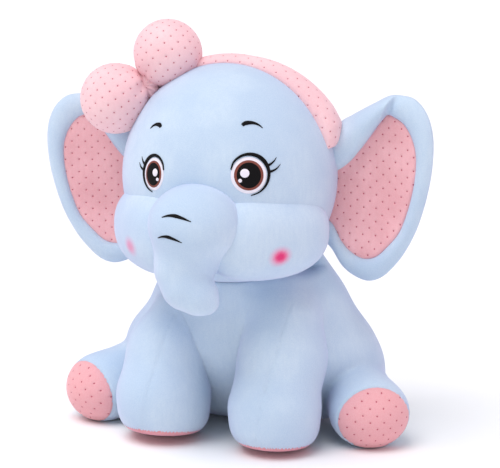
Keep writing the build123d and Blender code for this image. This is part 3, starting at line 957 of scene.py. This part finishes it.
def closed_form(part, shape, cell, body, seam=None, grow=8 * MM, skin=PLUSH):
    """A stuffed part of its own, with one seam pressed in if it is given."""
    low, high = box(part + "_skin")
    points, faces = polygonise(shape, low - grow, high + grow, cell)
    normals = None
    if seam is not None:
        cover = Skin(points, triangles_of(points, faces))
        cover.draw(*seam)
        cover.finish()
        points, faces, normals = cover.points, cover.tris, cover.normals
    piece(part + "_plush", points, faces, skin, stuffed(part), body, normals)


def make_head():
    closed_form("head", head_shape, 3.0 * MM, "head_body",
                (centre_field, behind(36 * MM, 0.8 * MM)))
    for side, word in SIDES:
        middle_of_blush, glow = BLUSH[side]
        blush = settle(cheek_shape(side), middle_of_blush[None])[0]
        skin = plush("cheek_plush_" + word, BLUE, BLUE_SHADE, blush, glow)
        closed_form("cheek_" + word, cheek_shape(side), 2.5 * MM, "head_body",
                    grow=40 * MM, skin=skin)
    closed_form("trunk", trunk_shape, 2.2 * MM, "trunk_body", grow=45 * MM)
    closed_form("tail", tail_shape, 1.3 * MM, "tail_body", (centre_field, 0.5 * MM))


make_head()


# ------ ears
# for each spoke of the ear: outline, then seam of the lining, each as distance out
# from the root and height above the floor
EAR_SPOKES = [
    (-36, 236, -30, 244), (-20, 207, -16, 228), (-6, 192, -4, 217), (4.5, 177, 4.5, 202),
    (17, 168, 14.5, 192), (32, 163.5, 28, 186), (46, 167.5, 42, 189), (59, 179, 55, 201),
    (72, 196, 67, 216), (84, 219, 75, 236), (93, 246, 80.5, 257), (99, 274, 83.5, 278),
    (101, 300, 83, 297), (99, 320, 78, 312), (92, 337, 70, 323.5), (80, 348.5, 60, 329.5),
    (66, 351.3, 53, 331.5), (54, 350.5, 46, 326), (40, 343.5, 36.5, 314), (27, 336.5, 27, 302.5),
    (14, 329, 17.5, 292.5), (4, 323, 8, 285), (-5, 311, -1, 279), (-18, 292, -15, 271),
    (-36, 262, -30, 257),
]
EAR_COUNT = 250
EAR_TILT = radians(7.2)
EAR_NOTCH = 16.25      # the spoke where the folded top edge ends
EAR_CORE = np.array([40.0, 256.0])
EAR_DRAWN = (163.5, 352.8)     # lowest and highest point of the drawing
# round the rim: share of the way from the lining's seam to the outline, depth in mm, and how
# much of the fold's rise it takes
RIM_PROFILE = [
    (-0.30, -2.5, 0.0), (-0.03, -0.6, 0.1), (0.00, 2.0, 0.35), (0.05, 4.0, 0.65), (0.13, 5.5, 0.9),
    (0.26, 6.5, 1.0), (0.42, 6.9, 1.0), (0.58, 6.5, 0.93), (0.73, 5.3, 0.78), (0.86, 3.5, 0.52),
    (0.95, 1.6, 0.26), (0.995, 0.2, 0.08), (0.985, -0.7, 0.0), (0.995, -1.6, 0.0),
    (0.94, -3.2, 0.0), (0.82, -4.8, 0.0), (0.60, -6.2, 0.0), (0.30, -7.0, 0.0),
]
# from the lining's underside over its edge to the middle: share of its width, depth in mm
LINING_PROFILE = [
    (0.2, -2.4), (0.6, -2.2), (0.9, -1.4), (1.012, -0.4), (1.008, 1.0), (0.985, 2.2), (0.95, 2.7),
    (0.89, 2.5), (0.8, 1.8), (0.66, 0.8), (0.5, -0.1), (0.34, -0.7), (0.17, -1.0),
]


def ear_frame(side, word):
    low, high = box(f"ear_{word}_back")
    root = sided(at(104, 28, 0), side)
    out = np.array([side * cos(EAR_TILT), -sin(EAR_TILT), 0])
    face = np.array([-side * sin(EAR_TILT), -cos(EAR_TILT), 0])
    bottom, top = low[2] + 0.2 * MM, high[2] + 0.1 * MM
    first, last = EAR_DRAWN

    def place(flat, depth):
        """flat: distance out and drawn height in mm; depth: mm in front of the middle."""
        u = flat[:, 0] * MM
        z = bottom + (flat[:, 1] - first) / (last - first) * (top - bottom)
        curl = 4.0 * MM * np.clip((flat[:, 0] - 25) / 75, 0, 1) ** 2
        w = depth * MM + curl
        return root + u[:, None] * out + w[:, None] * face + z[:, None] * UP
    return place


def make_ear(side, word):
    """A padded back whose rim rolls forward, and the lining sewn inside the rim."""
    place = ear_frame(side, word)
    spokes, where = round_curve(EAR_SPOKES, EAR_COUNT)
    outline, lining = spokes[:, :2], spokes[:, 2:]

    def inner(share):
        """The lining's seam drawn in toward the core."""
        return EAR_CORE + (lining - EAR_CORE) * share

    def tip(depth):
        return place(EAR_CORE[None], np.array([depth]))[0]

    # the top edge is folded over, up to a notch
    rise = np.clip((where - EAR_NOTCH) / 0.3, 0, 1)
    rise = rise * rise * (3 - 2 * rise) * np.clip((24.5 - where) / 2.0, 0, 1)
    swell = 11.5 * rise * (0.7 + 0.3 * np.clip((where - EAR_NOTCH) / 3, 0, 1))
    swell = swell - 1.8 * np.exp(-((where - EAR_NOTCH + 0.25) / 0.3) ** 2)
    rings = [place(inner(f), np.full(EAR_COUNT, -3.0)) for f in (0.25, 0.6)]
    for share, depth, lift in RIM_PROFILE:
        lean = -0.27 * rise * max(0.0, 1 - abs(share - 0.06) / 0.12)
        flat = lining + (outline - lining) * (share + lean)[:, None]
        rings.append(place(flat, depth + lift * swell))
    for f in (0.92, 0.78, 0.6, 0.4, 0.2):
        rings.append(place(inner(f), np.full(EAR_COUNT, -7.2 - 2.2 * (1 - f * f))))
    points, faces = loft(rings, tip(-3.0), tip(-9.4))
    piece(f"ear_{word}_plush", points, outward(points, faces), PLUSH,
          (f"ear_{word}_back", f"ear_{word}_padding"), f"ear_{word}_body")
    pucker = 0.22 * np.sin(where * 9.0) * (1 - rise)
    rings, flats = [], []
    for f, depth in LINING_PROFILE:
        edge = np.exp(-((f - 0.95) / 0.05) ** 2)
        flats.append(inner(f))
        rings.append(place(flats[-1], depth + pucker * edge))
    points, faces = loft(rings, tip(-2.4), tip(-1.1))
    flat = np.concatenate(flats + [EAR_CORE[None], EAR_CORE[None]]) * MM
    piece(f"ear_{word}_lining_cloth", points, outward(points, faces), EAR_DOTS,
          (f"ear_{word}_lining",), f"ear_{word}_body", cloth=flat)


for each_side, each_word in SIDES:
    make_ear(each_side, each_word)


# ------ headband
BAND_ENDS = (-40, 73.5)      # degrees from the crown, toward the right and the left ear
BAND_COUNT = 40              # points round its section
BAND_ARC = 0.118             # metres of cloth for each radian over the crown


def make_band():
    """A padded strip over the crown, flatter at its sewn edges."""
    low, high = box("headband_skin")
    mid_y = (low[1] + high[1]) / 2
    half = (high[1] - low[1]) / 2
    rise = high[2] - (HEAD[2] + HEAD_HALF[2])
    section = np.linspace(0, 2 * pi, BAND_COUNT, endpoint=False)
    c, s = np.cos(section), np.sin(section)
    rings, flats = [], []
    for angle in np.radians(np.linspace(*BAND_ENDS, 122)):
        along = np.degrees(angle)
        end = np.clip((74 - along) / 10, 0.0, 1) * np.clip((along + 41) / 9, 0.0, 1)
        puff = end ** 0.5
        fuller = np.clip((along - 10) / 45, 0, 1)
        width = half * (0.85 + 0.15 * puff) * (1 + 0.14 * fuller)
        y = width * np.sign(c) * np.abs(c) ** 0.9
        full = rise * (0.85 + 0.75 * fuller) * puff
        lift = np.where(s > 0, full * np.abs(s), -3 * MM * np.abs(s))
        # tiny gathers where the padding is drawn in by the edge seam
        by_seam = np.exp(-((np.abs(c) - 0.85) / 0.14) ** 2) * (s > 0)
        gather = 0.25 * MM * np.sin(angle * 95) * by_seam
        back = (mid_y + y - HEAD[1]) / HEAD_HALF[1]
        ring_size = np.sqrt(1 - back ** 2)
        on_egg = np.stack([ring_size * sin(angle), back, ring_size * cos(angle)], 1)
        normal = unit(on_egg / HEAD_HALF)
        rings.append(HEAD + on_egg * HEAD_HALF + normal * (lift + gather)[:, None])
        run = np.concatenate([[0.0], np.cumsum(np.hypot(np.diff(y), np.diff(lift)))])
        across = np.where(s >= 0, run - run[BAND_COUNT // 4], y)
        flats.append(np.stack([np.full(BAND_COUNT, angle * BAND_ARC), across], 1))
    points, faces = loft(rings)
    flat = np.concatenate(flats + [flats[0][:1], flats[-1][:1]])
    piece("headband_cloth", points, outward(points, faces), BAND_DOTS,
          stuffed("headband"), "head_body", cloth=flat)


make_band()


# ------ bow
BOW_FACING = np.array([0.25, -1.0, 0.15])


def make_puff(name, cinch, folds, phase, nudge, grow):
    """A stuffed puff of two gathered discs, drawn in at the knot."""
    centre = middle(name + "_skin") + np.array(nudge) * MM
    radius = float(np.max(half_size(name + "_skin"))) * grow
    knot = unit(cinch - centre)
    front = unit(BOW_FACING - (BOW_FACING @ knot) * knot)
    side = np.cross(front, knot)
    turn = np.linspace(0, 2 * pi, 96, endpoint=False)
    round_axis = np.cos(turn)[:, None] * knot + np.sin(turn)[:, None] * side
    rings, flats = [], []
    for tilt in pi * np.arange(1, 60) / 60:
        way = cos(tilt) * front + sin(tilt) * round_axis
        near = np.arccos(np.clip(way @ knot, -1, 1))
        spin = np.arctan2(way @ side, way @ front)
        fold = np.cos(folds * spin + phase) + 0.5 * np.cos((folds + 3) * spin + 2.1 * phase)
        crease = -0.026 * fold * np.exp(-((near - 0.5) / 0.33) ** 2)
        pinch = -0.03 * np.exp(-(near / 0.22) ** 2)
        seam = -0.016 * np.exp(-((tilt - pi / 2) / 0.035) ** 2)
        rings.append(centre + way * (radius * (1 + crease + pinch + seam))[:, None])
        reach = radius * (tilt if tilt <= pi / 2 else pi - tilt)
        flats.append(reach * np.stack([np.sin(turn), np.cos(turn)], 1))
    points, faces = loft(rings, centre + front * radius, centre - front * radius)
    flat = np.concatenate(flats + [np.zeros((2, 2))])
    piece(name + "_cloth", points, outward(points, faces), BOW_DOTS,
          stuffed(name), "head_body", cloth=flat)


def make_bow():
    cinch = middle("bow_cinch")
    make_puff("bow_upper", cinch, 5, 0.4, (0.8, 0, -1.6), 1.04)
    make_puff("bow_lower", cinch, 6, 1.9, (2.0, 0, 0.8), 1.035)
    half = half_size("bow_cinch") * np.array([1.45, 0.9, 1.85]) + 1.5 * MM
    cinch = cinch + np.array([4, 0, -5.2]) * MM

    def shape(p):
        """The knot, gathered into nine folds."""
        q = p - cinch
        spin = np.arctan2(q[:, 2], q[:, 0])
        return egg(p, cinch, half) + 0.7 * MM * np.cos(9 * spin)
    points, quads = polygonise(shape, cinch - half - 3 * MM, cinch + half + 3 * MM, 0.9 * MM, 1)
    piece("bow_knot_cloth", points, quads, KNOT, ("bow_cinch",), "head_body")


make_bow()


# ------ embroidery
def face_spot(node, nudge=(0.0, 0.0)):
    """The tangent plane of the head at a stitched patch: origin, across, up, out."""
    centre = middle(node) - HEAD + np.array([nudge[0], 0, nudge[1]]) * MM
    x, z = centre[0] / HEAD_HALF[0], centre[2] / HEAD_HALF[2]
    y = -np.sqrt(1 - x * x - z * z)
    origin = HEAD + np.array([x, y, z]) * HEAD_HALF
    out = unit(np.array([x, y, z]) / HEAD_HALF)
    across = unit(np.cross([0, 0, 1], out))
    return origin, across, np.cross(out, across), out


def on_head(spot):
    origin, across, up, out = spot

    def place(flat, lift):
        """flat: mm across and up from the spot; lift: mm off the head."""
        start = origin + flat[:, :1] * MM * across + flat[:, 1:] * MM * up
        half = HEAD_HALF + lift[:, None] * MM
        q = start - HEAD
        a = ((out / half) ** 2).sum(1)
        b = 2 * (q * out / half ** 2).sum(1)
        c = ((q / half) ** 2).sum(1) - 1
        return start + ((-b + np.sqrt(b * b - 4 * a * c)) / (2 * a))[:, None] * out
    return place


def on_trunk(flat, lift):
    """flat: mm across from the head's axis and above the floor; lift: mm off the trunk."""
    before = np.full(len(flat), box("trunk_skin")[0][1] - 20 * MM)
    points = np.stack([HEAD[0] + flat[:, 0] * MM, before, flat[:, 1] * MM], 1)
    for _ in range(40):
        points[:, 1] += trunk_shape(points) * 0.9
    return points + unit(gradient(trunk_shape, points)) * lift[:, None] * MM


def disc(node, place, half, level, thick, thread, centre):
    """A domed patch of stitches on the head."""
    turn = np.linspace(0, 2 * pi, 72, endpoint=False)
    edge = np.stack([np.cos(turn), np.sin(turn)], 1) * half
    rings = [(f, level + lift) for f, lift in ((0.3, -0.5), (0.8, -0.5), (0.99, -0.3))]
    rings += [(f, level + thick * (1 - f ** 7)) for f in (1.0, 0.97, 0.9, 0.78, 0.6, 0.4, 0.2)]
    rings = [place(centre + edge * f, np.full(72, lift)) for f, lift in rings]
    tips = [place(centre[None], np.array([lift]))[0] for lift in (level - 0.5, level + thick)]
    points, faces = loft(rings, *tips)
    piece(node + "_stitch", points, outward(points, faces), THREADS[thread],
          (node,), "head_body")


def stroke(node, place, path, widths, level, thick, body="head_body"):
    """A raised line of black satin stitch, thinner where widths say so."""
    line = open_curve(path, 40)
    wide = open_curve(np.stack([np.linspace(0, 1, len(widths)), widths], 1), 40)[:, 1] / 2
    along = unit(np.gradient(line, axis=0))
    across = np.stack([-along[:, 1], along[:, 0]], 1)
    turn = np.linspace(0, pi, 9)
    section = np.concatenate([np.cos(turn), [-0.6, 0.0, 0.6]])
    rings = []
    for i in range(40):
        rise = level + thick * min(1.0, wide[i] / 0.9) * np.sin(turn)
        flat = line[i] + section[:, None] * across[i] * wide[i]
        rings.append(place(flat, np.concatenate([rise, np.full(3, level - 0.5)])))
    points, faces = loft(rings)
    piece(node + "_stitch", points, outward(points, faces), THREADS["black"],
          (node,), body)


# the left eye in mm from its centre, with its nose side at -X
LID = [
    (-17.2, 6.0), (-14.6, 13.2), (-8.0, 19.0), (0.5, 21.2), (9.0, 19.2), (16.0, 13.0),
    (19.4, 5.0), (19.2, -4.0), (15.2, -12.4), (9.0, -17.8), (2.0, -20.4),
]
LASH_UPPER = [(17.8, 9.0), (22.0, 11.2), (25.0, 13.8), (27.6, 17.6)]
LASH_LOWER = [(19.2, 3.0), (24.0, 4.2), (28.0, 6.6), (31.4, 10.6)]
BROW = [(-11.2, 0.8), (-8.8, 2.4), (-4.0, 3.2), (1.0, 2.4), (5.0, 0.4), (8.6, -2.9)]
# half width and height, level and thickness in mm, thread, centre
EYE_DISCS = {
    "white": ((17.5, 18.5), 0.15, 0.55, "white", (0, 0)),
    "iris": ((14.3, 15.2), 0.65, 0.4, "brown", (0, 0)),
    "pupil": ((11.8, 12.9), 1.0, 0.4, "black", (0, 0)),
    "glint": ((4.5, 4.5), 1.35, 0.5, "white", (-4.0, 2.2)),
    "glint_small": ((1.9, 1.9), 1.35, 0.45, "white", (-8.6, -5.2)),
}
# path, width along it, level and thickness
EYE_STROKES = {
    "lid": (LID, [1.2, 3.2, 4.0, 4.1, 4.0, 3.7, 3.3, 3.0, 2.6, 2.1, 0.9], 0.3, 0.9),
    "lash_upper": (LASH_UPPER, [2.8, 2.6, 1.9, 0.4], 0.2, 0.8),
    "lash_lower": (LASH_LOWER, [2.8, 2.5, 1.8, 0.4], 0.2, 0.8),
}
BROW_WIDTHS = [3.2, 4.3, 4.2, 3.5, 2.4, 0.7]
# each eye's move across and up, its width and height against the drawing, and its brow's drop:
# the right eye is stitched smaller and narrower than the left one
EYE_FITS = {1: ((3, 1.3), (0.98, 0.94), 0.0), -1: ((0.8, -2.2), (0.72, 0.85), -6.0)}
# how far the stitches start from the end of their CAD line, and how much shorter they are
TRUNK_STITCHES = {"upper": (1.0, 4.0), "lower": (-3.5, 8.0)}
# share of their length, and mm below the top of the CAD line
TRUNK_ARCH = [(0, 5.0), (0.2, 3.0), (0.4, 2.3), (0.7, 3.8), (1, 6.8)]
TRUNK_WIDTHS = [0.8, 2.8, 3.4, 3.2, 0.7]


def make_face():
    for side, word in SIDES:
        nudge, (slim, short), drop = EYE_FITS[side]
        place = on_head(face_spot(f"eye_{word}_white", nudge))
        way = np.array([side * slim, short])
        for name, (half, level, thick, thread, centre) in EYE_DISCS.items():
            scale = (short, short) if name == "glint_small" else (slim, short)
            disc(f"eye_{word}_{name}", place, np.array(half) * scale, level, thick, thread,
                 np.array(centre) * way)
        for name, (path, widths, level, thick) in EYE_STROKES.items():
            stroke(f"eye_{word}_{name}", place, np.array(path) * way, widths, level, thick)
        brow = np.array(BROW) * way + np.array([0.0, drop])
        stroke(f"brow_{word}", on_head(face_spot(f"brow_{word}")), brow, BROW_WIDTHS, 0.2, 0.9)
    for word, (inset, shorter) in TRUNK_STITCHES.items():
        low, high = box("trunk_line_" + word)
        x, z = (low[0] - HEAD[0]) / MM + inset, high[2] / MM
        wide = (high[0] - low[0]) / MM - shorter
        path = np.array([(x + share * wide, z - fall) for share, fall in TRUNK_ARCH])
        stroke("trunk_line_" + word, on_trunk, path, TRUNK_WIDTHS, 0.1, 0.8, "trunk_body")


make_face()


# ------ floor, light, camera
FLOOR_REACH = 40.0
# direction the light comes from, strength, softness in degrees, colour
SUNS = {
    "key": ((-0.26, -0.50, 1.3), 2.02, 45, (1.0, 0.99, 0.99)),
    "fill": ((1.0, 0.1, 0.15), 0.54, 70, (1.0, 0.62, 0.84)),
    "rim": ((-1.0, 0.1, 0.1), 0.45, 70, (1.0, 0.76, 0.93)),
}
CAMERA_DISTANCE = 1.9
PICTURE_WIDTH = 0.5      # metres across, at the target


def aim(made, way):
    """Turns a lamp or camera so that it looks back along this direction."""
    made.rotation_euler = Vector(way).to_track_quat("Z", "Y").to_euler()


def make_stage():
    mesh = bpy.data.meshes.new("floor")
    corners = [(-FLOOR_REACH, -FLOOR_REACH, 0), (FLOOR_REACH, -FLOOR_REACH, 0),
               (FLOOR_REACH, FLOOR_REACH, 0), (-FLOOR_REACH, FLOOR_REACH, 0)]
    mesh.from_pydata(corners, [], [(0, 1, 2, 3)])
    pale = Nodes(bpy.data.materials.new("pale_floor"))
    mesh.materials.append(
        pale.wire(Base_Color=(0.93, 0.93, 0.94, 1), Roughness=0.9, Specular_IOR_Level=0.1))
    new_object("floor", mesh)
    sky = Nodes(bpy.data.worlds.new("studio"), "Background")
    height = sky.add("ShaderNodeSeparateXYZ", {0: sky.places["Generated"]}).outputs[2]
    # a ceiling light: the sky is brighter overhead than at eye level
    ceiling = sky.spread(height, 0.0, 0.9, 0.19, 0.67, "LINEAR")
    # and a pale strip of wall round the horizon
    wall = sky.spread(sky.maths("ABSOLUTE", height, 0.0), 0.30, 0.19, 0.0, 0.60, "LINEAR")
    bpy.context.scene.world = sky.wire(
        Color=(0.94, 0.97, 1.0, 1), Strength=sky.maths("ADD", ceiling, wall))
    for name, (way, strength, soft, tint) in SUNS.items():
        lamp = bpy.data.lights.new(name, "SUN")
        lamp.energy = strength
        lamp.angle = radians(soft)
        lamp.color = tint
        aim(new_object(name, lamp), way)
    bpy.context.scene.view_settings.view_transform = "Standard"


def make_camera():
    low, high = (np.array(v) for v in CAD_BOX)
    target = (low + high) / 2 + np.array([19, -18, -3]) * MM
    azimuth, elevation = radians(19), radians(11)
    flat = cos(elevation)
    way = np.array([sin(azimuth) * flat, -cos(azimuth) * flat, sin(elevation)])
    lens = bpy.data.cameras.new("camera")
    lens.sensor_width = 36
    lens.lens = 36 * CAMERA_DISTANCE / PICTURE_WIDTH
    lens.clip_end = 200
    made = new_object("camera", lens)
    made.location = target + way * CAMERA_DISTANCE
    aim(made, way)
    bpy.context.scene.camera = made


make_stage()
make_camera()
